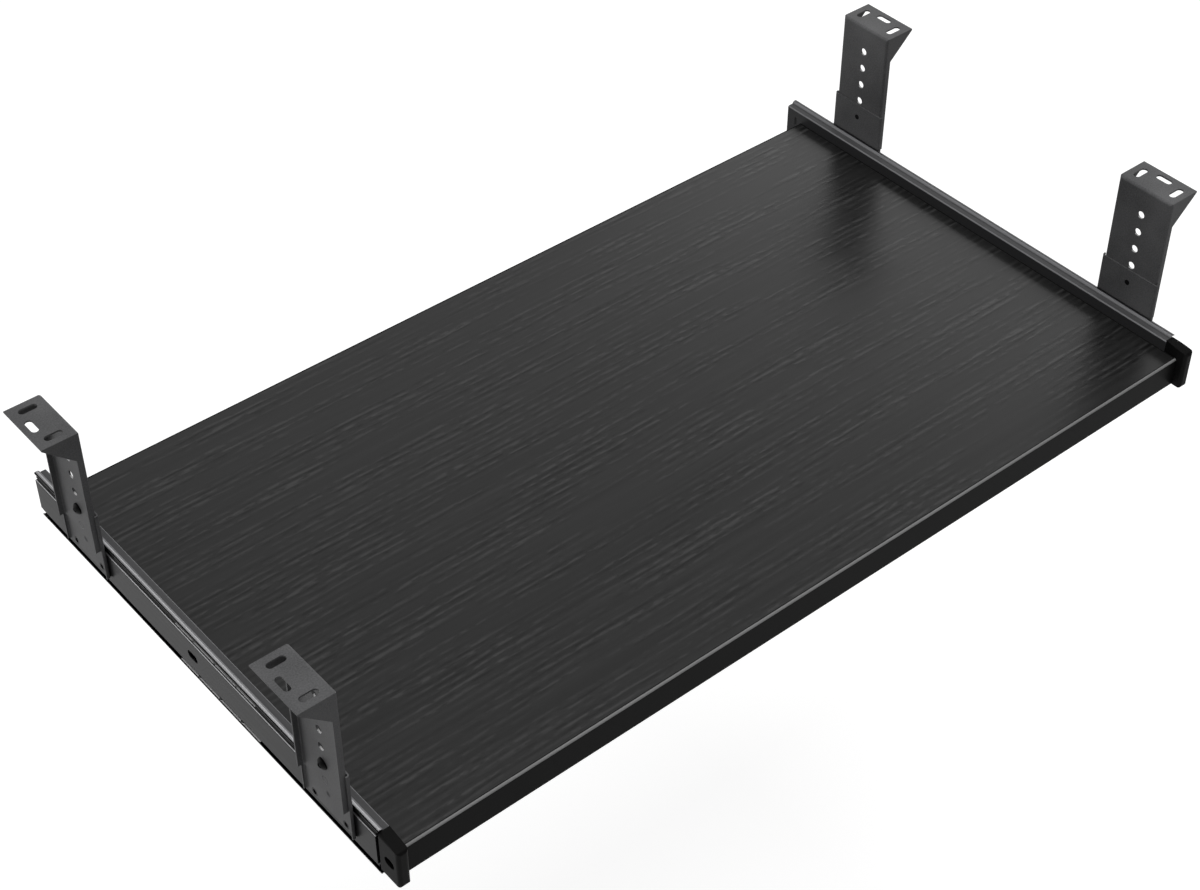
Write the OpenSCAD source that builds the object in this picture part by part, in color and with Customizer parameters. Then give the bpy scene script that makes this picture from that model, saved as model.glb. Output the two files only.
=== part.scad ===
// Keyboard tray that hangs under a desk on four hangers and pulls out on two ball slides.
// Millimetres. The origin is in the desk plane, midway between the hangers; +X right, +Y back, +Z up.

/* [Tray] */
// Width of the tray over its side bands
tray_w = 660; // [450:1:900]
// Depth of the tray over its front and rear bands
tray_d = 376; // [345:1:420]
// Thickness of the tray
tray_t = 22.5; // [18:0.5:28]
// Thickness of the rounded front band
front_band_t = 2; // [1:0.1:3]
// Rounding along the front band's upper edge
front_round = 1.5; // [0.4:0.1:2]
// Rounding along the front band's lower edge
front_foot_r = 0.4; // [0.2:0.1:2]
// Thickness of the rear and side bands
band_t = 1; // [0.4:0.1:2]
// Tray top below the top of the rails
tray_drop = 11; // [6:0.5:12]
// Tray front ahead of the rails' front ends
tray_lead = 11; // [4:0.5:16]

/* [Hangers] */
// Distance between the front and rear hangers, middle to middle
hanger_span = 268; // [220:1:290]
// Width of a hanger along the rail
hanger_w = 46; // [42:1:56]
// Reach of a hanger's desk flange
flange_w = 25.6; // [24:0.1:35]
// Sheet thickness of the hangers
hanger_t = 1.2; // [1:0.1:1.8]
// Depth of a hanger's side lips below the gusset
lip_depth = 5.1; // [3.5:0.1:8]
// Height of the gusset under the desk flange
gusset_h = 20.5; // [12:0.5:40]
// Outside radius of a hanger's folded edges
fold_r = 2; // [1.9:0.1:3]
// Width of the screw slots in the desk flange
slot_w = 5; // [4:0.1:6]
// Length of the screw slots, end to end
slot_len = 12.5; // [9:0.5:14]
// Crosswise slots on either side of the hanger's middle
slot_dy = 15.5; // [13:0.5:17]
// Middle of the crosswise slots from the hanger's web
slot_in = 13.1; // [10:0.1:16]
// Middle of the lengthwise slot from the hanger's web
slot_out = 19.1; // [15:0.1:20]

/* [Height holes] */
// Diameter of the height holes
hole_d = 5.5; // [5:0.1:7.2]
// Distance from one height hole to the next
hole_pitch = 14.4; // [12:0.2:18]
// Number of height holes in a hanger
hole_n = 6; // [6:1:8]
// First height hole below the desk
first_hole = 20.8; // [15:0.2:30]
// Hanger's lower end below the last hole
hole_margin = 5.5; // [4.5:0.5:12]
// Number of height holes above the screw
holes_above_n = 4; // [0:1:4]

/* [Rail brackets] */
// Sheet thickness of the rail brackets
bracket_t = 1; // [0.8:0.1:1.6]
// Play between a hanger's side and the bracket that wraps it
bracket_play = 0.7; // [0.05:0.05:1]
// Reach of the bracket's side lips past the hanger's inner face
bracket_lip = 2; // [1:0.1:4]
// Bracket's top edge above the height screw
bracket_rise = 10.6; // [8:0.2:14]
// Top of the rails below the height screw
rail_drop = 17.2; // [12:0.2:30]
// Bracket's lower end above the lower edge of the desk rail
bracket_foot = 4.5; // [3:0.1:4.8]
// Diameter of the rivets
rivet_d = 4.6; // [4.2:0.1:5]
// Diameter of the rivets' countersunk heads
rivet_head_d = 5.8; // [5.4:0.1:6.2]
// Bore of the hollow rivets
rivet_bore = 3.6; // [2:0.1:3.6]
// Rivets on either side of the bracket's middle
rivet_dy = 15.6; // [10:0.2:18]
// Rivets below the middle of the rail
rivet_drop = 3.8; // [0:0.1:4]
// Thickness of the rivets' set ends inside the desk rail
rivet_set_t = 0.8; // [0.4:0.1:1.2]
// Gap around the boss that sits in the height hole below the screw
boss_gap = 0.2; // [0.1:0.05:0.4]
// Diameter of the dimple in a bracket's outer face
dimple_d = 4.5; // [3:0.5:6]
// Depth of the dimple
dimple_deep = 0.6; // [0.3:0.1:0.6]
// Dimple above the middle of the rail
dimple_rise = 8.8; // [6:0.2:11]

/* [Slide rails] */
// Length of a tray rail
rail_len = 380; // [350:1:450]
// Middle of the rails behind the middle of the hangers
rail_shift = 9.5; // [0:0.5:16]
// Height of a tray rail
rail_h = 38.1; // [36:0.1:48]
// Thickness of a slide, both rails together
rail_depth = 8.9; // [8.8:0.1:12]
// Sheet thickness of the rails
rail_t = 0.8; // [0.7:0.1:0.9]
// Rounding along a tray rail's inner edges
rail_round = 1.2; // [0.5:0.1:2]
// Tray rail's flat edge below the top of its lip
ledge = 2; // [1.6:0.1:2.2]
// Tray rail's lip inside the desk rail's outer face
lip_inset = 0.3; // [0.3:0.05:0.5]
// How far the lip comes down over the balls
lip_fall = 1.5; // [1.2:0.1:1.8]
// Desk rail's flat face below the top of the lip
face_drop = 7.2; // [6.8:0.1:8]
// Width of the upright slot near a tray rail's rear end
rear_slot_w = 2.4; // [2:0.1:4]
// Height of the upright slot, end to end
rear_slot_h = 7.5; // [5:0.5:9]
// Upright slot ahead of the rail's rear end
rear_slot_in = 9.2; // [6:0.1:20]
// Upright slot above the middle of the rail
rear_slot_rise = 7; // [0:0.5:8]
// Height of the folded stop tabs
stop_h = 10; // [6:0.5:12]
// How far the tray comes out
travel = 238; // [150:1:250]

/* [Balls and cages] */
// Diameter of the balls
ball_d = 3.1; // [2.9:0.1:3.1]
// Middle of the balls out from the tray's side
ball_out = 7; // [6.8:0.1:7]
// Gap between a ball and each race
race_gap = 0.25; // [0.2:0.05:0.3]
// Balls in a row
ball_n = 3; // [2:1:4]
// Distance from one ball to the next
ball_pitch = 23.5; // [8:0.5:30]
// Length of a cage past its last balls
cage_end = 20; // [5:0.5:25]
// Sheet thickness of a cage
cage_t = 0.4; // [0.3:0.1:0.5]
// Gap between a cage and the rails
cage_gap = 0.35; // [0.3:0.05:0.4]

/* [Front caps] */
// Length of a cap ahead of the rail
cap_len = 18; // [12:0.5:30]
// Cap's top below the top of the rail
cap_drop = 1.4; // [0.4:0.1:3]
// Height of a cap
cap_h = 32.2; // [26:0.1:34]
// Fall of a cap's top from back to front
cap_fall = 3; // [0:0.5:6]
// Rounding of a cap's front upper edge
cap_nose_r = 2.5; // [2:0.5:6]
// Rounding of a cap's outer upper edge
cap_edge_r = 3; // [1:0.5:4]
// Rounding of a cap's front lower edge
cap_foot_r = 1.5; // [0.5:0.5:3]
// Rounding of a cap's upright front edges
cap_corner_r = 2.5; // [1:0.5:3.5]
// Cap's faces inside the rail's outline
cap_inset = 0.4; // [0.2:0.1:1]
// Gap between a cap and the end of the desk rail
cap_gap = 2.5; // [1:0.5:5]
// Length of the recess in a cap's outer face
recess_l = 9; // [5:0.5:10]
// Height of the recess
recess_h = 6.5; // [4:0.5:8]
// Depth of the recess
recess_deep = 4.5; // [1:0.5:5]
// Length of the tongue that holds a cap in its rail
tongue_l = 15; // [10:0.5:20]
// Thickness of the tongue
tongue_t = 1.1; // [0.8:0.1:1.2]
// Diameter of the tongue's snap nub
nub_d = 4.5; // [3:0.5:6]

/* [Screws] */
// Diameter of the height screws
screw_d = 4; // [3.5:0.1:5]
// Diameter of a height screw's head
screw_head_d = 8; // [7.8:0.1:10]
// Height of a height screw's head
screw_head_h = 3; // [2.4:0.2:3.6]
// Diameter of the tray screws
wood_d = 3.5; // [3:0.1:4.5]
// Length of the tray screws under the head
wood_l = 16; // [12:0.5:25]
// Diameter of a tray screw's head
wood_head_d = 7; // [6:0.2:8]
// Height of a tray screw's head
wood_head_h = 1.1; // [0.8:0.1:1.2]
// Middle tray screw behind the middle of the hangers
wood_mid_y = 12.5; // [0:0.5:30]
// Width of the oval access hole over the middle tray screw
access_w = 6; // [4:0.5:8]
// Length of the access hole
access_l = 11; // [8:0.5:14]
// Radial gap around screws, rivets and nubs
fit_gap = 0.1; // [0.05:0.05:0.2]

/* [Hidden] */
$fn = 48;
// Cutters reach this far past the face they open
past = 1;
// Radius of a height screw's crown as a share of the head's diameter
crown_share = 0.6;
steel = [0.20, 0.20, 0.21];
rail_steel = [0.30, 0.30, 0.31];
bright = [0.72, 0.72, 0.74];
plastic = [0.09, 0.09, 0.09];
laminate = [0.17, 0.17, 0.17];

// Places along the height
screw_z = -(first_hole + hole_pitch * holes_above_n);
hanger_h = first_hole + hole_pitch * (hole_n - 1) + hole_margin;
rail_top = screw_z - rail_drop;
rail_mid = rail_top - rail_h / 2;
tray_top = rail_top - tray_drop;
tray_bottom = tray_top - tray_t;

// Places along the depth
rail_front = rail_shift - rail_len / 2;
rail_rear = rail_shift + rail_len / 2;
desk_rail_front = rail_front + cap_gap;
tray_front = rail_front - tray_lead;
tray_rear = tray_front + tray_d;
hanger_ys = [-hanger_span / 2, hanger_span / 2];
wood_ys = [hanger_ys[0], wood_mid_y, hanger_ys[1]];

// Places across the slide, measured outwards from the tray's side
hanger_x = tray_w / 2 + rail_depth + bracket_t;
race_r = ball_d / 2 + race_gap;
lip_r = race_r + rail_t;
lip_u = rail_depth - lip_inset;
cradle_end_u = ball_out + race_r / 2;

// Places down the slide, measured from the rail's top
ball_w = lip_r;
cage_w = max(ball_w, ledge + rail_t) + cage_gap;
cradle_w = cage_w + cage_t + cage_gap;

// The cage, and the stops that catch it at full travel
cradle_u = ball_out - sqrt(lip_r * lip_r - (cradle_w - ball_w) * (cradle_w - ball_w));
cage_u = cradle_u - cage_gap - cage_t;
cage_len = ball_pitch * (ball_n - 1) + 2 * cage_end;
cage_front = desk_rail_front + rail_t + cage_gap + travel / 2;
stop_y = cage_front + cage_len + travel / 2 + cage_gap;
stop_u = rail_t + max(wood_head_h, tongue_t) + cage_gap;

// Rail brackets and rivets
bracket_half = hanger_w / 2 + bracket_play + bracket_t;
bracket_low = rail_top - rail_h + face_drop + bracket_foot;
rivet_z = rail_mid - rivet_drop;
rivet_head_t = 0.8 * bracket_t;
rivet_ys = [-rivet_dy, rivet_dy];

// A plane figure in X and Z, drawn out along Y
module along_y(y0, y1) {
    translate([0, y1, 0]) rotate([90, 0, 0]) linear_extrude(y1 - y0) children();
}

// A plane figure in Y and Z, drawn out along X
module along_x(x0, x1) {
    translate([x0, 0, 0]) rotate([90, 0, 90]) linear_extrude(x1 - x0) children();
}

// A round bar along X
module bar_x(d, x0, x1) {
    translate([x0, 0, 0]) rotate([0, 90, 0]) cylinder(d = d, h = x1 - x0);
}

// A slot with round ends along its first axis
module slot(l, w) {
    square([l - w, w], center = true);
    for (s = [-1, 1]) translate([s * (l - w) / 2, 0]) circle(d = w);
}

// What a round corner of radius r takes off a square one at the origin
module corner_waste(r) {
    difference() {
        translate([-past, -past]) square(r + past);
        translate([r, r]) circle(r);
    }
}

// A piece of the right side, or its mirror image on the left
module on_side(side) {
    mirror([side < 0 ? 1 : 0, 0, 0]) children();
}

// Moves the tray's right edge and the rails' top to the origin of a rail's section
module at_rail() {
    translate([tray_w / 2, rail_top]) children();
}

// A shape at a rail's upper edge and its mirror image at the lower edge
module both_edges() {
    children();
    translate([0, -rail_h]) mirror([0, 1]) children();
}

// Tray

module tray_block(front, rear, half) {
    along_x(-half, half) translate([front, tray_bottom]) square([rear - front, tray_t]);
}

module tray_pilots() {
    for (side = [-1, 1], y = wood_ys)
        on_side(side) translate([tray_w / 2, y, rail_mid])
            bar_x(wood_d + 2 * fit_gap, rail_t - wood_l - past, past);
}

module tray_board() {
    color(laminate) difference() {
        tray_block(tray_front + front_band_t, tray_rear - band_t, tray_w / 2 - band_t);
        tray_pilots();
    }
}

module front_edge_band() {
    color(laminate) along_x(-tray_w / 2, tray_w / 2) translate([tray_front, tray_bottom]) difference() {
        square([front_band_t, tray_t]);
        corner_waste(min(front_foot_r, front_band_t));
        translate([0, tray_t]) mirror([0, 1]) corner_waste(min(front_round, front_band_t));
    }
}

module rear_edge_band() {
    color(laminate) tray_block(tray_rear - band_t, tray_rear, tray_w / 2);
}

module side_edge_band(side) {
    color(laminate) on_side(side) difference() {
        along_y(tray_front + front_band_t, tray_rear - band_t)
            translate([tray_w / 2 - band_t, tray_bottom]) square([band_t, tray_t]);
        for (y = wood_ys)
            translate([tray_w / 2, y, rail_mid]) bar_x(wood_d + 2 * fit_gap, -band_t - past, past);
    }
}

module left_edge_band() side_edge_band(-1);
module right_edge_band() side_edge_band(1);

// Slide rails

// A slice of the ball race's sheet, between two corners given from the middle of the ball
module race_slice(u0, w0, u1, w1) {
    translate([ball_out, -ball_w]) intersection() {
        difference() {
            circle(lip_r);
            circle(race_r);
        }
        translate([u0, -w1]) square([u1 - u0, w1 - w0]);
    }
}

module tray_rail_edge() {
    translate([0, -ledge - rail_t]) square([ball_out - race_r, rail_t]);
    race_slice(-lip_r, -lip_r, 0, 0);
    race_slice(0, -lip_r, lip_u - ball_out, lip_fall - ball_w);
}

module tray_rail_section() {
    difference() {
        union() {
            translate([0, ledge - rail_h]) square([rail_t, rail_h - 2 * ledge]);
            both_edges() tray_rail_edge();
        }
        both_edges() translate([0, -ledge]) mirror([0, 1]) corner_waste(rail_round);
    }
}

module tray_rail(side) {
    color(rail_steel) on_side(side) difference() {
        union() {
            along_y(rail_front, rail_rear) at_rail() tray_rail_section();
            along_y(stop_y, stop_y + rail_t) at_rail()
                translate([0, -(rail_h + stop_h) / 2]) square([cage_u + cage_t, stop_h]);
        }
        translate([tray_w / 2, 0, rail_mid]) {
            for (y = wood_ys) translate([0, y, 0]) bar_x(wood_d + 4 * fit_gap, -past, rail_t + past);
            translate([0, rail_front + tongue_l / 2, 0]) bar_x(nub_d + 2 * fit_gap, -past, rail_t + past);
            along_x(-past, rail_t + past) translate([rail_rear - rear_slot_in, rear_slot_rise])
                rotate(90) slot(rear_slot_h, rear_slot_w);
        }
    }
}

module left_tray_rail() tray_rail(-1);
module right_tray_rail() tray_rail(1);

module desk_rail_edge() {
    shelf_u = ball_out - rail_t / 2;
    translate([rail_depth - rail_t, -face_drop]) circle(rail_t);
    translate([shelf_u, -face_drop]) square([rail_depth - rail_t - shelf_u, rail_t]);
    translate([shelf_u, -face_drop]) square([rail_t, face_drop - ball_w - race_r - rail_t / 2]);
    race_slice(-lip_r, cradle_w - ball_w, cradle_end_u - ball_out, lip_r);
}

module desk_rail_section() {
    translate([rail_depth - rail_t, face_drop - rail_h]) square([rail_t, rail_h - 2 * face_drop]);
    both_edges() desk_rail_edge();
}

module desk_rail(side) {
    web = rail_depth - rail_t;
    color(rail_steel) on_side(side) difference() {
        union() {
            along_y(desk_rail_front, rail_rear) at_rail() desk_rail_section();
            along_y(desk_rail_front, desk_rail_front + rail_t) at_rail()
                translate([stop_u, -(rail_h + stop_h) / 2]) square([web + rail_t / 2 - stop_u, stop_h]);
        }
        translate([tray_w / 2 + web, 0, 0]) {
            along_x(-past, rail_t + past) translate([wood_mid_y, rail_mid]) slot(access_l, access_w);
            for (y = hanger_ys, dy = rivet_ys)
                translate([0, y + dy, rivet_z]) bar_x(rivet_d + 2 * fit_gap, -past, rail_t + past);
        }
    }
}

module left_desk_rail() desk_rail(-1);
module right_desk_rail() desk_rail(1);

// Balls and cages

module at_balls() {
    for (i = [0 : ball_n - 1])
        translate([tray_w / 2 + ball_out, cage_front + cage_end + i * ball_pitch, rail_top]) children();
}

module cage_section() {
    difference() {
        translate([cage_u, cage_w - rail_h]) square([lip_u - cage_u, rail_h - 2 * cage_w]);
        translate([cage_u + cage_t, cage_w + cage_t - rail_h])
            square([lip_u - cage_u, rail_h - 2 * (cage_w + cage_t)]);
    }
}

module ball_cage(side) {
    color(bright) on_side(side) difference() {
        along_y(cage_front, cage_front + cage_len) at_rail() cage_section();
        at_balls() translate([0, 0, -rail_h]) cylinder(d = ball_d + 4 * fit_gap, h = rail_h);
    }
}

module left_ball_cage() ball_cage(-1);
module right_ball_cage() ball_cage(1);

module ball_rows(side) {
    color(bright) on_side(side) at_balls()
        for (w = [ball_w, rail_h - ball_w]) translate([0, 0, -w]) sphere(d = ball_d);
}

module left_balls() ball_rows(-1);
module right_balls() ball_rows(1);

// Front caps

// The top falls to the front and ends in a nose that is tangent to it
module cap_side_view() {
    back_top = rail_top - cap_drop;
    front = rail_front - cap_len;
    low = back_top - cap_h;
    a = atan2(cap_fall, cap_len);
    nose_y = front + cap_nose_r;
    nose_z = back_top - cap_fall + cap_nose_r * (tan(a) - 1 / cos(a));
    difference() {
        union() {
            polygon([
                [rail_front, low], [front, low], [front, nose_z], [nose_y, nose_z],
                [nose_y - cap_nose_r * sin(a), nose_z + cap_nose_r * cos(a)], [rail_front, back_top]
            ]);
            translate([nose_y, nose_z]) circle(cap_nose_r);
        }
        translate([front, low]) corner_waste(cap_foot_r);
    }
}

// The cap from above, with both front corners rounded
module cap_plan() {
    wide = rail_depth - 2 * cap_inset;
    translate([tray_w / 2 + cap_inset, rail_front - cap_len]) difference() {
        square([wide, cap_len]);
        corner_waste(cap_corner_r);
        translate([wide, 0]) mirror([1, 0]) corner_waste(cap_corner_r);
    }
}

module cap_front_view() {
    translate([tray_w / 2 + cap_inset, rail_top - cap_drop - cap_h]) difference() {
        square([rail_depth - 2 * cap_inset, cap_h]);
        translate([rail_depth - 2 * cap_inset, cap_h]) rotate(180) corner_waste(cap_edge_r);
    }
}

module front_cap(side) {
    outer = tray_w / 2 + rail_depth - cap_inset;
    color(plastic) on_side(side) {
        difference() {
            intersection() {
                along_x(tray_w / 2, tray_w / 2 + rail_depth) cap_side_view();
                along_y(rail_front - cap_len, rail_front) cap_front_view();
                translate([0, 0, rail_top - cap_drop - cap_h]) linear_extrude(cap_h) cap_plan();
            }
            along_x(outer - recess_deep, outer + past)
                translate([rail_front - cap_len / 2, rail_mid]) slot(recess_l, recess_h);
        }
        translate([tray_w / 2 + rail_t, rail_front - past, rail_mid - stop_h / 2])
            cube([tongue_t, tongue_l + past, stop_h]);
        translate([tray_w / 2, rail_front + tongue_l / 2, rail_mid]) bar_x(nub_d, 0, rail_t + tongue_t / 2);
    }
}

module left_front_cap() front_cap(-1);
module right_front_cap() front_cap(1);

// Hangers and rail brackets, placed by the row and the side they are on

module at_hanger(row, side) {
    on_side(side) translate([hanger_x, hanger_ys[row], 0]) children();
}

// A folded channel's outline, its back on the origin and rounded at both ends, square in front
module channel_outline(half, deep, r) {
    translate([0, -half]) difference() {
        square([deep, 2 * half]);
        corner_waste(r);
        translate([0, 2 * half]) mirror([0, 1]) corner_waste(r);
    }
}

module hanger_side_view() {
    difference() {
        polygon([
            [0, 0], [flange_w, 0], [flange_w, -hanger_t], [lip_depth, -gusset_h],
            [lip_depth, -hanger_h], [0, -hanger_h]
        ]);
        mirror([0, 1]) corner_waste(fold_r);
    }
}

// The hollow between the web, the side lips and the desk flange
module hanger_hollow() {
    translate([hanger_t, 0, -hanger_h - past]) linear_extrude(hanger_h + past - hanger_t)
        channel_outline(hanger_w / 2 - hanger_t, flange_w, fold_r - hanger_t);
}

module hanger(row, side) {
    color(steel) at_hanger(row, side) difference() {
        intersection() {
            translate([0, 0, -hanger_h]) linear_extrude(hanger_h)
                channel_outline(hanger_w / 2, flange_w, fold_r);
            along_y(-hanger_w / 2, hanger_w / 2) hanger_side_view();
        }
        hanger_hollow();
        translate([0, 0, -hanger_t - past]) linear_extrude(hanger_t + 2 * past) {
            for (s = [-1, 1]) translate([slot_in, s * slot_dy]) slot(slot_len, slot_w);
            translate([slot_out, 0]) rotate(90) slot(slot_len, slot_w);
        }
        for (i = [0 : hole_n - 1])
            translate([0, 0, -first_hole - i * hole_pitch]) bar_x(hole_d, -past, hanger_t + past);
    }
}

module front_left_hanger() hanger(0, -1);
module front_right_hanger() hanger(0, 1);
module rear_left_hanger() hanger(1, -1);
module rear_right_hanger() hanger(1, 1);

module bracket_plan() {
    difference() {
        translate([-bracket_t, 0]) channel_outline(bracket_half, bracket_lip + bracket_t, fold_r);
        channel_outline(bracket_half - bracket_t, bracket_lip + past, fold_r - bracket_t);
    }
}

module rivet_seat(gap) {
    bar_x(rivet_d + 2 * gap, -bracket_t - past, 0);
    translate([-rivet_head_t, 0, 0]) rotate([0, 90, 0])
        cylinder(d1 = rivet_d + 2 * gap, d2 = rivet_head_d + 2 * gap, h = rivet_head_t);
}

// A ball whose cap of diameter d and depth h dips below X = 0
module dent(d, h) {
    r = (d * d / 4 + h * h) / (2 * h);
    translate([r - h, 0, 0]) sphere(r);
}

module rail_bracket(row, side) {
    color(steel) at_hanger(row, side) difference() {
        union() {
            translate([0, 0, bracket_low])
                linear_extrude(screw_z + bracket_rise - bracket_low) bracket_plan();
            translate([0, 0, screw_z - hole_pitch]) bar_x(hole_d - 2 * boss_gap, -bracket_t / 2, hanger_t);
        }
        translate([0, 0, screw_z]) bar_x(screw_d + 2 * fit_gap, -bracket_t - past, past);
        translate([0, 0, rail_mid + dimple_rise]) dent(dimple_d, dimple_deep);
        for (dy = rivet_ys) translate([0, dy, rivet_z]) rivet_seat(fit_gap);
    }
}

module front_left_rail_bracket() rail_bracket(0, -1);
module front_right_rail_bracket() rail_bracket(0, 1);
module rear_left_rail_bracket() rail_bracket(1, -1);
module rear_right_rail_bracket() rail_bracket(1, 1);

// Fasteners

module cross_recess(l, w, depth) {
    for (a = [0, 90]) rotate([a, 0, 0])
        translate([-depth, -l / 2, -w / 2]) cube([depth + past, l, w]);
}

// A screw head on X = 0 that rises outwards to a crown
module crowned_head(d, h) {
    r = crown_share * d;
    rotate([0, 90, 0]) rotate_extrude() intersection() {
        translate([0, h - r]) circle(r);
        square([d / 2, h]);
    }
}

module height_screws() {
    color(steel) for (row = [0, 1], side = [-1, 1])
        at_hanger(row, side) translate([0, 0, screw_z]) {
            bar_x(screw_d, -bracket_t, hanger_t + screw_head_h / 4);
            translate([hanger_t, 0, 0]) difference() {
                crowned_head(screw_head_d, screw_head_h);
                translate([screw_head_h, 0, 0])
                    cross_recess(screw_head_d / 2, screw_head_d / 8, screw_head_h / 2);
            }
        }
}

module bracket_rivets() {
    inner = -bracket_t - rail_t;
    color(steel) for (row = [0, 1], side = [-1, 1], dy = rivet_ys)
        at_hanger(row, side) translate([0, dy, rivet_z]) difference() {
            union() {
                bar_x(rivet_d, inner - rivet_set_t, 0);
                bar_x(rivet_head_d, inner - rivet_set_t, inner);
                translate([-rivet_head_t, 0, 0]) rotate([0, 90, 0])
                    cylinder(d1 = rivet_d, d2 = rivet_head_d, h = rivet_head_t);
            }
            bar_x(rivet_bore, inner - rivet_set_t - past, past);
        }
}

module tray_screws() {
    color(bright) for (side = [-1, 1], y = wood_ys)
        on_side(side) translate([tray_w / 2 + rail_t, y, rail_mid]) {
            difference() {
                bar_x(wood_head_d, 0, wood_head_h);
                translate([wood_head_h, 0, 0])
                    cross_recess(wood_head_d / 2, wood_head_d / 7, wood_head_h / 2);
            }
            bar_x(wood_d, wood_d - wood_l, wood_head_h / 4);
            translate([-wood_l, 0, 0]) rotate([0, 90, 0])
                cylinder(d1 = wood_d / 6, d2 = wood_d, h = wood_d);
        }
}

tray_board();
front_edge_band();
rear_edge_band();
left_edge_band();
right_edge_band();
left_tray_rail();
right_tray_rail();
left_desk_rail();
right_desk_rail();
left_ball_cage();
right_ball_cage();
left_balls();
right_balls();
left_front_cap();
right_front_cap();
tray_screws();
front_left_hanger();
front_right_hanger();
rear_left_hanger();
rear_right_hanger();
front_left_rail_bracket();
front_right_rail_bracket();
rear_left_rail_bracket();
rear_right_rail_bracket();
height_screws();
bracket_rivets();
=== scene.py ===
import bpy
import math
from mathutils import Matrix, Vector


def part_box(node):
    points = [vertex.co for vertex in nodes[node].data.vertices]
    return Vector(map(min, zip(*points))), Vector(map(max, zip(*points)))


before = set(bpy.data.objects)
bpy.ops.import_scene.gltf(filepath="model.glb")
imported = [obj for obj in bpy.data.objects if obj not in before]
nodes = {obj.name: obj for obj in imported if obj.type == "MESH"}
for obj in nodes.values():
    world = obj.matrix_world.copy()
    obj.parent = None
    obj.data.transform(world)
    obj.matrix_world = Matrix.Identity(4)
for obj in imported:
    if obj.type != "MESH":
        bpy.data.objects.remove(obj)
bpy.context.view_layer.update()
print("frame loaded,", len(nodes), "nodes")


def mm(length):
    return length / 1000


def hexColour(code):
    # sRGB hex to the linear values that the shader wants
    parts = [int(code[i:i + 2], 16) / 255 for i in (1, 3, 5)]
    return tuple(c / 12.92 if c <= 0.04045 else ((c + 0.055) / 1.055) ** 2.4 for c in parts) + (1.0,)


def addNode(tree, kind, links=None, **settings):
    # links: input name or number -> output socket or plain value
    node = tree.nodes.new(kind)
    for name, value in settings.items():
        setattr(node, name, value)
    for name, value in (links or {}).items():
        if isinstance(value, bpy.types.NodeSocket):
            tree.links.new(value, node.inputs[name])
        else:
            node.inputs[name].default_value = value
    return node


def newMaterial(name):
    material = bpy.data.materials.new(name)
    material.use_nodes = True
    material.node_tree.nodes.clear()
    return material, material.node_tree


def closeMaterial(tree, shader):
    addNode(tree, "ShaderNodeOutputMaterial", {"Surface": shader.outputs["BSDF"]})


def setRamp(ramp, places, codes):
    for element, place, code in zip(ramp.color_ramp.elements, places, codes):
        element.position = place
        element.color = hexColour(code)


def stepMask(tree, value, start, end):
    return addNode(tree, "ShaderNodeMapRange", {"Value": value, "From Min": start, "From Max": end}).outputs[0]


def edgeMask(tree, value, place, soft):
    # 0 below a place in mm and 1 above it, or the other way round where soft is negative
    return stepMask(tree, value, mm(place - soft), mm(place + soft))


def overlap(tree, first, second):
    return addNode(tree, "ShaderNodeMath", {0: first, 1: second}, operation="MULTIPLY").outputs[0]


def sizedCoords(tree, position, sizes):
    # one unit of pattern for each size in mm, along X, Y and Z
    return addNode(tree, "ShaderNodeMapping", {
        "Vector": position, "Scale": [1000 / size for size in sizes]}).outputs[0]


# Tray top: melamine paper pressed on chipboard with an embossed wood-grain plate. The eye gets a satin black
# with straight rows of short pores that gather in loose bands along the grain. Each row's pale crest and
# near-black trough are partly the printed grain and partly a painted highlight and painted shade of the emboss.
laminate = {
    "dark": "#1b1b1b", "mid": "#212121", "pale": "#393939", "troughShade": "#040404",
    "rows": (60.0, 5.5), "wander": 2.5,           # mm along and across, spaced as in the photograph
    "pores": (9.0, 3.2), "poreDetail": 2.0,       # mm, how the rows break up
    "bands": (110.0, 13.0), "bandDetail": 2.0,    # mm
    "streaks": (260.0, 5.0), "streakDetail": 4.0,             # mm
    "swayLength": 300.0, "sway": 6.0, "swayDetail": 0.5,      # mm along and across: how the grain drifts
    "rowRange": (0.5, 1.0), "sunkRange": (0.5, 0.0), "poreRange": (0.38, 0.60), "bandRange": (0.40, 0.62),
    "streakRange": (0.35, 0.68), "roughness": (0.30, 0.38), "ior": 1.5,
    "bumpStrength": 0.5, "bumpHeight": 0.14,      # height in mm
}


def grainNoise(tree, position, size, detail):
    length, width = size
    coords = sizedCoords(tree, position, (length, width, width))
    noise = addNode(tree, "ShaderNodeTexNoise", {"Vector": coords, "Scale": 1.0, "Detail": detail})
    return noise.outputs["Fac"]


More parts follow.
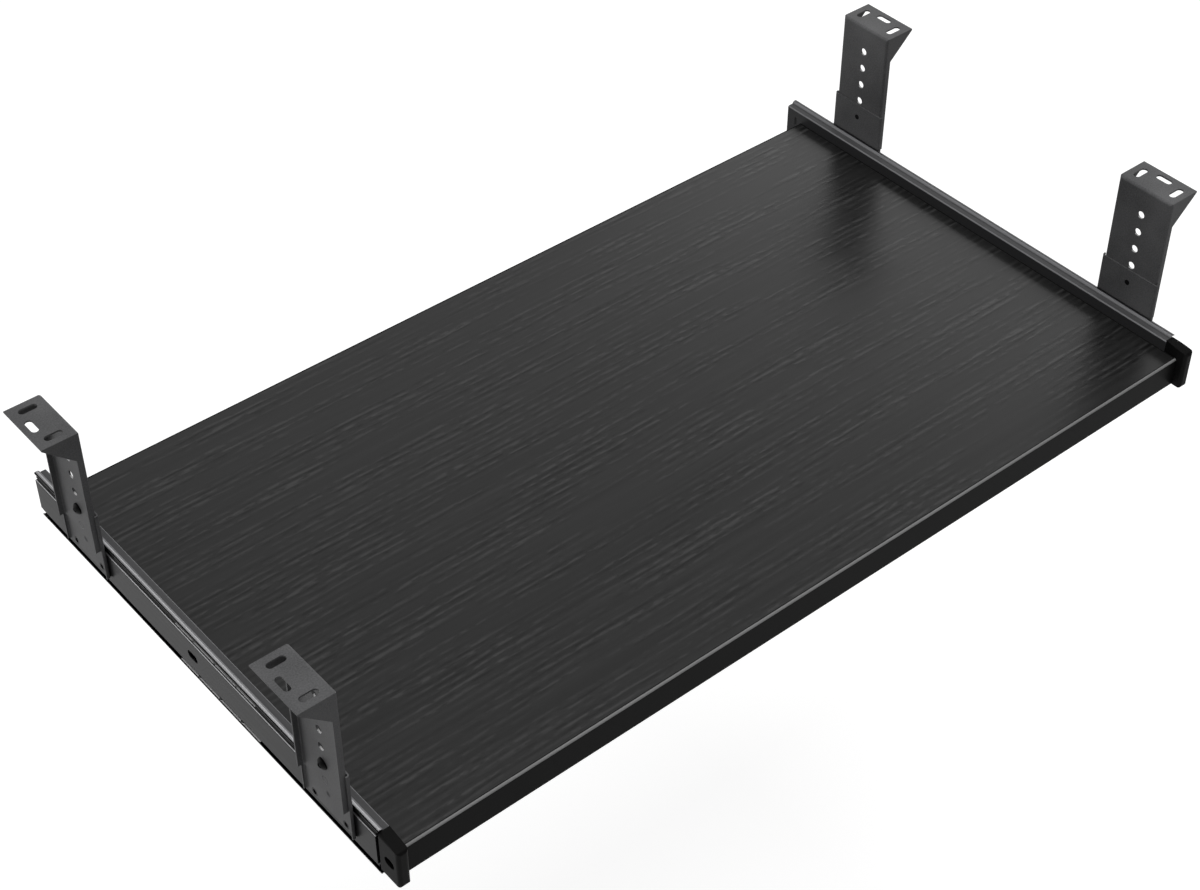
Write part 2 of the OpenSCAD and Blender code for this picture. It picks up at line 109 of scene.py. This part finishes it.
def makeLaminate():
    d = laminate
    material, tree = newMaterial("pressed_melamine_wood_grain")
    place = addNode(tree, "ShaderNodeTexCoord").outputs["Object"]
    sway = addNode(tree, "ShaderNodeTexNoise", {
        "Vector": place, "Scale": 1000 / d["swayLength"], "Detail": d["swayDetail"]})
    swayed = addNode(tree, "ShaderNodeVectorMath", {0: sway.outputs["Color"], 1: (0.0, mm(d["sway"]), 0.0)},
                     operation="MULTIPLY")
    bent = addNode(tree, "ShaderNodeVectorMath", {0: place, 1: swayed.outputs[0]}, operation="ADD").outputs[0]
    streak = grainNoise(tree, bent, d["streaks"], d["streakDetail"])
    band = grainNoise(tree, bent, d["bands"], d["bandDetail"])
    pore = grainNoise(tree, bent, d["pores"], d["poreDetail"])
    rowLength, rowSpacing = d["rows"]
    oneRow = math.pi / 10    # the wave's scale that gives one row for each unit
    rows = addNode(tree, "ShaderNodeTexWave", {
        "Vector": sizedCoords(tree, bent, (rowLength, rowSpacing, rowSpacing)), "Scale": oneRow,
        "Distortion": d["wander"], "Detail": 1.0, "Detail Scale": 1 / oneRow}, bands_direction="Y")
    rows = rows.outputs["Fac"]
    patch = overlap(tree, stepMask(tree, band, *d["bandRange"]), stepMask(tree, pore, *d["poreRange"]))
    # painted highlight on each row's crest and painted shade in its trough, over the printed grain
    raised = overlap(tree, stepMask(tree, rows, *d["rowRange"]), patch)
    troughShade = overlap(tree, stepMask(tree, rows, *d["sunkRange"]), patch)
    base = addNode(tree, "ShaderNodeValToRGB", {"Fac": streak})
    setRamp(base, d["streakRange"], (d["dark"], d["mid"]))
    colour = addNode(tree, "ShaderNodeMix", {"Factor": troughShade, 6: base.outputs["Color"], 7: hexColour(d["troughShade"])},
                     data_type="RGBA")
    colour = addNode(tree, "ShaderNodeMix", {"Factor": raised, 6: colour.outputs[2], 7: hexColour(d["pale"])},
                     data_type="RGBA")
    smooth, rough = d["roughness"]
    satin = addNode(tree, "ShaderNodeMapRange", {"Value": streak, "To Min": smooth, "To Max": rough})
    bump = addNode(tree, "ShaderNodeBump", {
        "Height": overlap(tree, rows, patch), "Strength": d["bumpStrength"], "Distance": mm(d["bumpHeight"])})
    shader = addNode(tree, "ShaderNodeBsdfPrincipled", {
        "Base Color": colour.outputs[2], "Roughness": satin.outputs[0], "IOR": d["ior"],
        "Normal": bump.outputs[0]})
    closeMaterial(tree, shader)
    return material


# Pale spots painted over a finish, as masks over the part's own X, Y and Z, all in mm: a painted highlight
# along the front band's top edge, and uncoated steel with a painted glint low in the hangers' height holes
paleSpotMarks = {
    "edgeDown": 1.25, "edgeBack": 1.4,            # from the tray's top and from its front
    "edgeSoft": 0.15, "backSoft": 0.2,            # half the width over which the pale spot fades out
    "firstHole": 20.8, "holePitch": 14.4,         # the hangers' height holes, down from the desk
    "holeReach": 2.85, "holeSoft": 0.1,           # from a hole's middle to just past its wall
    "wallGlintDown": 2.0, "wallGlintSoft": 0.3,             # below a hole's middle, where its wall is uncoated steel with a painted glint
}


def paintedEdgeHighlight(tree, axes):
    d = paleSpotMarks
    low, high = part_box("front_edge_band")
    # painted highlight: the band's rounded top edge is painted paler
    upper = edgeMask(tree, axes.outputs["Z"], high.z * 1000 - d["edgeDown"], d["edgeSoft"])
    front = edgeMask(tree, axes.outputs["Y"], low.y * 1000 + d["edgeBack"], -d["backSoft"])
    return overlap(tree, upper, front)


def holeWallsWithPaintedGlint(tree, axes):
    # each hanger has its holes in a row down its middle, so the nearest hole's middle is found by wrapping Z
    d = paleSpotMarks
    low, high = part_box("rear_left_hanger")
    half = mm(d["holePitch"]) / 2
    along = addNode(tree, "ShaderNodeMath", {0: axes.outputs["Y"]}, operation="ABSOLUTE")
    along = addNode(tree, "ShaderNodeMath", {0: along.outputs[0], 1: (low.y + high.y) / 2},
                    operation="SUBTRACT")
    up = addNode(tree, "ShaderNodeMath", {0: axes.outputs["Z"], 1: mm(d["firstHole"])}, operation="ADD")
    up = addNode(tree, "ShaderNodeMath", {0: up.outputs[0], 1: half}, operation="MINIMUM")
    up = addNode(tree, "ShaderNodeMath", {0: up.outputs[0], 1: half, 2: -half}, operation="WRAP").outputs[0]
    flat = addNode(tree, "ShaderNodeCombineXYZ", {"X": along.outputs[0], "Y": up})
    reach = addNode(tree, "ShaderNodeVectorMath", {0: flat.outputs[0]}, operation="LENGTH").outputs["Value"]
    hole = edgeMask(tree, reach, d["holeReach"], -d["holeSoft"])
    # painted glint: the lower wall of each hole, which faces the light, is painted bright over the uncoated
    # steel
    wallGlint = edgeMask(tree, up, -d["wallGlintDown"], -d["wallGlintSoft"])
    return overlap(tree, hole, wallGlint)


# Coats, plastics and plain metals. The colour drifts from dark to pale by clouds and by grains, whose size is
# in mm and drawn a little coarser than real so that it shows.
drift = {
    "cloudSize": 40.0, "cloudDetail": 4.0, "grainDetail": 3.0, "cloudShare": 0.5, "range": (0.35, 0.65),
    "bumpStrength": 0.4, "bumpHeight": 0.03,      # height in mm
}
edgeStrip = {"dark": "#171717", "pale": "#1c1c1c", "roughness": (0.32, 0.40), "grain": 1.2, "gloss": 0.02}
coatedSteel = {"dark": "#4e4e4f", "pale": "#686869", "roughness": (0.46, 0.58), "grain": 1.0, "gloss": 0.13}
coats = {
    # ABS strip, extruded and glued on: a satin black with little gloss
    "extruded_abs_edge_band": edgeStrip,
    # The same strip at the front, whose rounded top edge is painted paler: a thin line of painted highlight
    "abs_front_band_painted_highlight": {**edgeStrip, "paleSpots": paintedEdgeHighlight, "paleSpotColour": "#8c8c8c"},
    # Steel sheet, pressed and coated with a fine sandy powder: a dark grey that turns paler at a low angle
    "powder_coated_pressed_steel": coatedSteel,
    # The same sheet with holes punched through the coat: the lower wall of each is painted bright, uncoated
    # steel and a painted glint
    "powder_coated_punched_steel_painted_glint": {**coatedSteel, "paleSpots": holeWallsWithPaintedGlint, "paleSpotColour": "#c8c8c8"},
    # Polypropylene, moulded with a fine matte texture: a deep black that swallows the gloss
    "moulded_polypropylene": {
        "dark": "#0d0d0d", "pale": "#121212", "roughness": (0.5, 0.64), "grain": 0.6, "gloss": 0.06},
    # Steel, bright zinc plated: a cool pale metal with soft highlights
    "bright_zinc_plated_steel": {
        "dark": "#b8b8ba", "pale": "#d0d0d2", "roughness": (0.2, 0.32), "grain": 0.8, "metallic": 1.0},
    # Cage strip, zinc plated and passivated: a milky pale grey that scatters more than it mirrors
    "passivated_zinc_cage_steel": {
        "dark": "#e0e0e2", "pale": "#f4f4f4", "roughness": (0.45, 0.55), "grain": 0.8, "metallic": 0.15},
    # Bearing steel, ground and polished, coloured deep black for a greasing film and the painted shade of the
    # race, with a small sharp highlight
    "ball_steel_painted_shade": {
        "dark": "#060606", "pale": "#0c0c0c", "roughness": (0.12, 0.2), "grain": 0.5, "gloss": 0.3},
    # Screws and rivets, blackened in a salt bath: a dull black
    "black_oxide_fastener_steel": {
        "dark": "#0c0c0d", "pale": "#141415", "roughness": (0.4, 0.5), "grain": 0.6, "gloss": 0.1},
}


def makeCoat(name, dark, pale, roughness, grain, metallic=0.0, gloss=0.5, paleSpots=None, paleSpotColour=None):
    d = drift
    material, tree = newMaterial(name)
    place = addNode(tree, "ShaderNodeTexCoord").outputs["Object"]
    grains = addNode(tree, "ShaderNodeTexNoise", {
        "Vector": place, "Scale": 1000 / grain, "Detail": d["grainDetail"]}).outputs["Fac"]
    cloud = addNode(tree, "ShaderNodeTexNoise", {
        "Vector": place, "Scale": 1000 / d["cloudSize"], "Detail": d["cloudDetail"]}).outputs["Fac"]
    mixed = addNode(tree, "ShaderNodeMix", {"Factor": d["cloudShare"], 2: grains, 3: cloud}, data_type="FLOAT")
    ramp = addNode(tree, "ShaderNodeValToRGB", {"Fac": mixed.outputs[0]})
    setRamp(ramp, d["range"], (dark, pale))
    colour = ramp.outputs["Color"]
    # pale spots painted over the coat: a painted highlight on the front band, uncoated steel with a painted
    # glint in the holes
    if paleSpots:
        spots = paleSpots(tree, addNode(tree, "ShaderNodeSeparateXYZ", {0: place}))
        colour = addNode(tree, "ShaderNodeMix", {"Factor": spots, 6: colour, 7: hexColour(paleSpotColour)},
                         data_type="RGBA").outputs[2]
    smooth, rough = roughness
    sandy = addNode(tree, "ShaderNodeMapRange", {"Value": grains, "To Min": smooth, "To Max": rough})
    raised = addNode(tree, "ShaderNodeBump", {
        "Height": grains, "Strength": d["bumpStrength"], "Distance": mm(d["bumpHeight"])})
    shader = addNode(tree, "ShaderNodeBsdfPrincipled", {
        "Base Color": colour, "Roughness": sandy.outputs[0], "Metallic": metallic,
        "Specular IOR Level": gloss, "Normal": raised.outputs[0]})
    closeMaterial(tree, shader)
    return material


# Slide steel: strip that was roll-formed into channels and plated, with a dark plain web. The places are in mm
# from the balls' axis. The left slide's raised lip and the desk rails' bends are painted bright as a highlight,
# the right slide's lip stays dull as in shade, the inner top edge and the lip's inner flank get a painted
# highlight, the back that faces the tray is painted darker as shade, and the races are painted near-black:
# greasing and painted shade.
slide = {
    # back is painted shade on the face towards the tray, edge a painted highlight, the near-black the races'
    # painted shade
    "web": "#525253", "back": "#363637", "edge": "#808082", "face": "#222223", "raceGreaseAndShade": "#050505",
    "lip": "#d8d8da", "shadedLip": "#58585a",       # painted highlight on the left slide's lip and the desk rails' bends; the right slide's lip stays dull, as in shade
    "raceOut": 7.0, "raceDown": 2.6,              # where that axis is, from the rail's back and from its top
    "lipReach": 3.0, "lipSpan": (-0.7, 0.9),      # how far out, and between what places, the lip's painted colour reaches
    "flankIn": 2.3,                               # where the painted highlight on the lip's inner flank begins
    "edgeIn": 6.3, "edgeDown": 0.35,              # where the painted highlight on the rail's inner top edge begins
    "backIn": 6.8,                                # where the back, painted darker as shade, begins
    "bendDown": 6.65,                             # below the rail's top, where the painted highlight on the desk rail's bend ends
    "trayGreaseAndShade": 2.1, "deskGreaseAndShade": 3.95,        # how far from the axis the near-black of greasing and painted shade reaches on the two rails
    "soft": 0.1, "lipSoft": 0.2, "endSoft": 0.05,             # half the width over which a finish fades out
    "lines": (0.8333, 83.33, 0.8333), "lineDetail": 3.0,      # mm, what the rolls draw along the rail
    "shade": (0.82, 1.15), "roughness": (0.3, 0.44), "gloss": 0.07,
    "bumpStrength": 0.3, "bumpHeight": 0.02,
}


def railBox(name):
    low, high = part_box(name)
    return min(abs(low[0]), abs(high[0])), low[2], high[2]


def makeSlideSteel(name, plain, paintedLightColour, greaseAndShadeReach, isTrayRail):
    d = slide
    backX, lowZ, topZ = railBox("left_tray_rail")
    half = (topZ - lowZ) / 2
    material, tree = newMaterial(name)
    place = addNode(tree, "ShaderNodeTexCoord").outputs["Object"]
    axes = addNode(tree, "ShaderNodeSeparateXYZ", {0: place})
    lines = addNode(tree, "ShaderNodeTexNoise", {
        "Vector": sizedCoords(tree, place, d["lines"]), "Scale": 1.0, "Detail": d["lineDetail"]}).outputs["Fac"]
    out = addNode(tree, "ShaderNodeMath", {0: axes.outputs["X"]}, operation="ABSOLUTE")
    out = addNode(tree, "ShaderNodeMath", {0: out.outputs[0], 1: backX + mm(d["raceOut"])},
                  operation="SUBTRACT").outputs[0]
    off = addNode(tree, "ShaderNodeMath", {0: axes.outputs["Z"], 1: lowZ + half}, operation="SUBTRACT")
    off = addNode(tree, "ShaderNodeMath", {0: off.outputs[0]}, operation="ABSOLUTE").outputs[0]
    up = addNode(tree, "ShaderNodeMath", {0: off, 1: half - mm(d["raceDown"])}, operation="SUBTRACT").outputs[0]
    flat = addNode(tree, "ShaderNodeCombineXYZ", {"X": out, "Y": up})
    reach = addNode(tree, "ShaderNodeVectorMath", {0: flat.outputs[0]}, operation="LENGTH").outputs["Value"]
    # near-black in the races: greasing and painted shade
    greaseAndShade = edgeMask(tree, reach, greaseAndShadeReach, -d["soft"])
    steel = hexColour(plain)
    if isTrayRail:
        lipStart, lipEnd = d["lipSpan"]
        lip = edgeMask(tree, reach, d["lipReach"], -d["lipSoft"])
        # the lip's band gets the painted highlight colour, or the dull colour as in shade on the right slide
        paintedLightBand = overlap(tree, lip, edgeMask(tree, out, lipStart, d["lipSoft"]))
        # on the tray rail the painted shade also covers everything out past the lip, in the channel
        greaseAndShade = addNode(tree, "ShaderNodeMath", {0: greaseAndShade, 1: edgeMask(tree, out, lipEnd, d["endSoft"])},
                      operation="MAXIMUM").outputs[0]
        # painted shade: the back that faces the tray is darker
        behind = edgeMask(tree, out, -d["backIn"], -d["soft"])
        # painted highlight on the rail's inner top edge and on the lip's inner flank
        edge = overlap(tree, edgeMask(tree, out, -d["edgeIn"], -d["soft"]),
                       edgeMask(tree, up, -d["edgeDown"], d["soft"]))
        flank = overlap(tree, lip, edgeMask(tree, out, -d["flankIn"], d["lipSoft"]))
        edgeHighlight = addNode(tree, "ShaderNodeMath", {0: edge, 1: flank}, operation="MAXIMUM").outputs[0]
        for mask, code in ((behind, d["back"]), (edgeHighlight, d["edge"])):
            steel = addNode(tree, "ShaderNodeMix", {"Factor": mask, 6: steel, 7: hexColour(code)},
                            data_type="RGBA").outputs[2]
    else:
        # painted highlight on the desk rail's bends near its top and bottom
        paintedLightBand = edgeMask(tree, off, half * 1000 - d["bendDown"], d["soft"])
    steel = addNode(tree, "ShaderNodeMix", {"Factor": paintedLightBand, 6: steel, 7: hexColour(paintedLightColour)},
                    data_type="RGBA")
    deep, light = d["shade"]
    shade = addNode(tree, "ShaderNodeMapRange", {"Value": lines, "To Min": deep, "To Max": light})
    lined = addNode(tree, "ShaderNodeVectorMath", {0: steel.outputs[2], "Scale": shade.outputs[0]},
                    operation="SCALE")
    # the races are painted near-black, greasing and painted shade
    colour = addNode(tree, "ShaderNodeMix", {"Factor": greaseAndShade, 6: lined.outputs[0], 7: hexColour(d["raceGreaseAndShade"])},
                     data_type="RGBA")
    clearOfGreaseAndShade = addNode(tree, "ShaderNodeMath", {0: 1.0, 1: greaseAndShade}, operation="SUBTRACT")
    smooth, rough = d["roughness"]
    drawn = addNode(tree, "ShaderNodeMapRange", {"Value": lines, "To Min": smooth, "To Max": rough})
    raised = addNode(tree, "ShaderNodeBump", {
        "Height": lines, "Strength": d["bumpStrength"], "Distance": mm(d["bumpHeight"])})
    shader = addNode(tree, "ShaderNodeBsdfPrincipled", {
        "Base Color": colour.outputs[2], "Roughness": drawn.outputs[0],
        "Metallic": overlap(tree, clearOfGreaseAndShade.outputs[0], paintedLightBand),
        "Specular IOR Level": d["gloss"], "Normal": raised.outputs[0]})
    closeMaterial(tree, shader)
    return material


coatOf = {name: makeCoat(name, **values) for name, values in coats.items()}
trayGreaseAndShade, deskGreaseAndShade = slide["trayGreaseAndShade"], slide["deskGreaseAndShade"]
# the left slide's lip gets the painted highlight, the right one's stays dull as in shade
leftRailSteel = makeSlideSteel("roll_formed_steel_bright_lip_painted_highlight", slide["web"], slide["lip"], trayGreaseAndShade, True)
rightRailSteel = makeSlideSteel("roll_formed_steel_dull_lip_painted_shade", slide["web"], slide["shadedLip"], trayGreaseAndShade, True)
deskRailSteel = makeSlideSteel("roll_formed_steel_bend_painted_highlight", slide["face"], slide["lip"], deskGreaseAndShade, False)

# Which finish goes on which pieces, by the first word here that is in the piece's name
finishes = {
    "tray_board": makeLaminate(),
    "front_edge_band": coatOf["abs_front_band_painted_highlight"],
    "edge_band": coatOf["extruded_abs_edge_band"],
    "left_tray_rail": leftRailSteel,
    "right_tray_rail": rightRailSteel,
    "desk_rail": deskRailSteel,
    "ball_cage": coatOf["passivated_zinc_cage_steel"],
    "balls": coatOf["ball_steel_painted_shade"],
    "cap": coatOf["moulded_polypropylene"],
    "tray_screws": coatOf["bright_zinc_plated_steel"],
    "height_screws": coatOf["black_oxide_fastener_steel"],
    "rivets": coatOf["black_oxide_fastener_steel"],
    "hanger": coatOf["powder_coated_punched_steel_painted_glint"],
    "rail_bracket": coatOf["powder_coated_pressed_steel"],
}
for name, node in nodes.items():
    node.data.materials.clear()
    node.data.materials.append(next(finish for word, finish in finishes.items() if word in name))
print("finishes set")

# Studio: a pale floor a desk's height below the tray, a wide soft lamp overhead and cards behind and at both
# sides. Sizes are in metres and powers in watts.
studio = {
    "floorDrop": 0.70, "floorSize": 80, "floorColour": "#b8b8b8", "floorRoughness": 0.9, "floorLift": 0.79,
    "skyStrength": 0.2, "lampTarget": (0, 0, -0.1),
    "lamps": {
        "topLamp": {"place": (0.0, -0.3, 2.1), "size": 1.8, "power": 32.0},
        "rightCard": {"place": (2.7, 1.5, 0.8), "size": 2.2, "power": 22.0},
        "backCard": {"place": (1.0, 2.4, 1.5), "size": 1.5, "power": 3.5},
        "leftCard": {"place": (-1.9, 1.5, 0.5), "size": 1.8, "power": 12.0},
    },
}


def makeFloor():
    bpy.ops.mesh.primitive_plane_add(size=studio["floorSize"], location=(0, 0, -studio["floorDrop"]))
    floor = bpy.context.object
    floor.name = "floor"
    material, tree = newMaterial("matte_white_floor")
    ray = addNode(tree, "ShaderNodeLightPath").outputs    # white where it is seen, not where it lights
    seen = addNode(tree, "ShaderNodeMath", {0: ray["Is Camera Ray"], 1: ray["Is Glossy Ray"]},
                   operation="MAXIMUM")
    seen = addNode(tree, "ShaderNodeMath", {0: seen.outputs[0], 1: ray["Is Transmission Ray"]},
                   operation="MAXIMUM")
    paint = addNode(tree, "ShaderNodeBsdfPrincipled", {
        "Base Color": hexColour(studio["floorColour"]), "Roughness": studio["floorRoughness"],
        "Specular IOR Level": 0.0, "Emission Color": (1, 1, 1, 1),
        "Emission Strength": overlap(tree, seen.outputs[0], studio["floorLift"])})
    closeMaterial(tree, paint)
    floor.data.materials.append(material)


def addLamp(name, place, size, power):
    lamp = bpy.data.lights.new(name, "AREA")
    lamp.shape = "SQUARE"
    lamp.size = size
    lamp.energy = power
    thing = bpy.data.objects.new(name, lamp)
    bpy.context.scene.collection.objects.link(thing)
    thing.location = place
    thing.visible_camera = False
    thing.rotation_mode = "QUATERNION"
    thing.rotation_quaternion = (Vector(studio["lampTarget"]) - Vector(place)).to_track_quat("-Z", "Y")


def makeSky():
    sky = bpy.data.worlds.new("sky")
    bpy.context.scene.world = sky
    sky.use_nodes = True
    tree = sky.node_tree
    ray = addNode(tree, "ShaderNodeLightPath").outputs    # white where it is seen, dimmer where it lights
    strength = addNode(tree, "ShaderNodeMath", {0: ray["Is Camera Ray"], 1: studio["skyStrength"]},
                       operation="MAXIMUM")
    background = tree.nodes["Background"]
    background.inputs["Color"].default_value = (1, 1, 1, 1)
    tree.links.new(strength.outputs[0], background.inputs["Strength"])


makeFloor()
for lampName, settings in studio["lamps"].items():
    addLamp(lampName, **settings)
makeSky()
bpy.context.scene.view_settings.view_transform = "Standard"
print("studio lit")

# Camera at the photograph's place: metres, then degrees, then mm
view = {"place": (-0.748732, -0.864772, 0.899778), "turn": -39.778, "height": 41.97, "lens": 68.2, "sensor": 36}
camera = bpy.data.objects.new("camera", bpy.data.cameras.new("camera"))
bpy.context.scene.collection.objects.link(camera)
turn, height = math.radians(view["turn"]), math.radians(view["height"])
back = Vector((math.sin(turn) * math.cos(height), -math.cos(turn) * math.cos(height), math.sin(height)))
camera.location = view["place"]
camera.rotation_mode = "QUATERNION"
camera.rotation_quaternion = (-back).to_track_quat("-Z", "Y")
camera.data.lens = view["lens"]
camera.data.sensor_width = view["sensor"]
bpy.context.scene.camera = camera
print("camera set")
